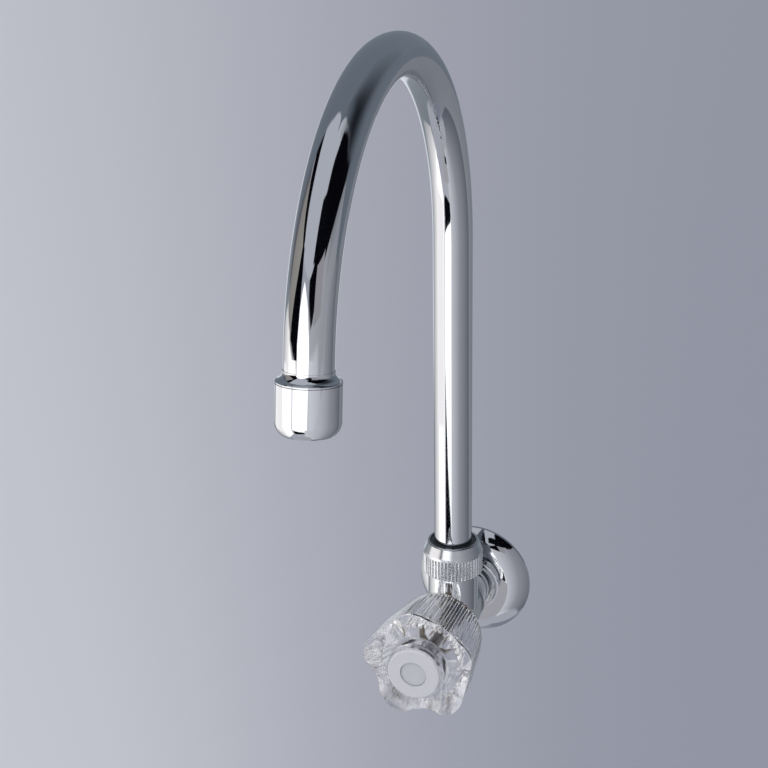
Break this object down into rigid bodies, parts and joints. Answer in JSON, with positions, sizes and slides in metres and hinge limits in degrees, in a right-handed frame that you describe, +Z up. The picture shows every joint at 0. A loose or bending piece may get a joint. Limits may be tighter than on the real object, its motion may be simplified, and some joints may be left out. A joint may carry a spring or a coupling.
{
  "type": "commercial wall faucet",
  "caption": "Wall-mounted single cold tap with a chromed swivelling gooseneck spout, knurled spout nut, domed wall flange and clear petal knob.",
  "frame": {"origin": "on the wall face, at the centre of the inlet thread", "axes": "+Z up, -Y out of the wall into the room along the valve's axis, +X to the right seen from the room"},
  "size_m": [0.0604, 0.2754, 0.3429],
  "materials": {
    "chrome": "polished chrome plate on brass",
    "brass": "turned brass",
    "clear_acrylic": "clear moulded acrylic",
    "white_plastic": "satin white plastic",
    "grey_plastic": "satin grey plastic",
    "black_plastic": "moulded acetal",
    "rubber": "moulded rubber",
    "fibre": "pressed fibre",
    "stainless": "stainless steel"
  },
  "bodies": {
    "root": {"body": "chrome", "wall_flange": "chrome", "valve_seat": "brass", "bonnet": "brass", "bonnet_gasket": "fibre", "stem_packing": "white_plastic", "packing_follower": "brass", "packing_nut": "brass", "thrust_washer": "white_plastic", "glide_bush": "black_plastic", "spout_nut": "chrome"},
    "spout": {"spout_tube": "chrome", "spout_foot": "brass", "spout_o_rings": "rubber", "outlet_collar": "chrome", "aerator_housing": "chrome", "aerator_gasket": "rubber", "flow_insert": "grey_plastic", "aerator_screen": "stainless"},
    "valve_disc": {"disc_holder": "brass", "disc_washer": "rubber", "disc_screw": "stainless"},
    "handle": {"spindle": "brass", "knob": "clear_acrylic", "knob_insert": "brass", "knob_screw": "stainless", "index_cap": "white_plastic", "index_button": "grey_plastic"}
  },
  "joints": [
    {"name": "spout_swivel", "type": "hinge", "parent": "root", "child": "spout", "pos_m": [0, -0.04, 0.03], "axis": [0, 0, 1], "range_deg": [-92.8, 87.2]},
    {"name": "valve_lift", "type": "slide", "parent": "root", "child": "valve_disc", "axis": [0, -1, 0], "range_m": [0, 0.005]},
    {"name": "handle_turn", "type": "hinge", "parent": "valve_disc", "child": "handle", "pos_m": [0, -0.05, 0], "axis": [0, -1, 0], "range_deg": [0, 720]}
  ],
  "couplings": [
    {"joint": "valve_lift", "follows": "handle_turn", "m_per_rad": 0.00039788}
  ]
}
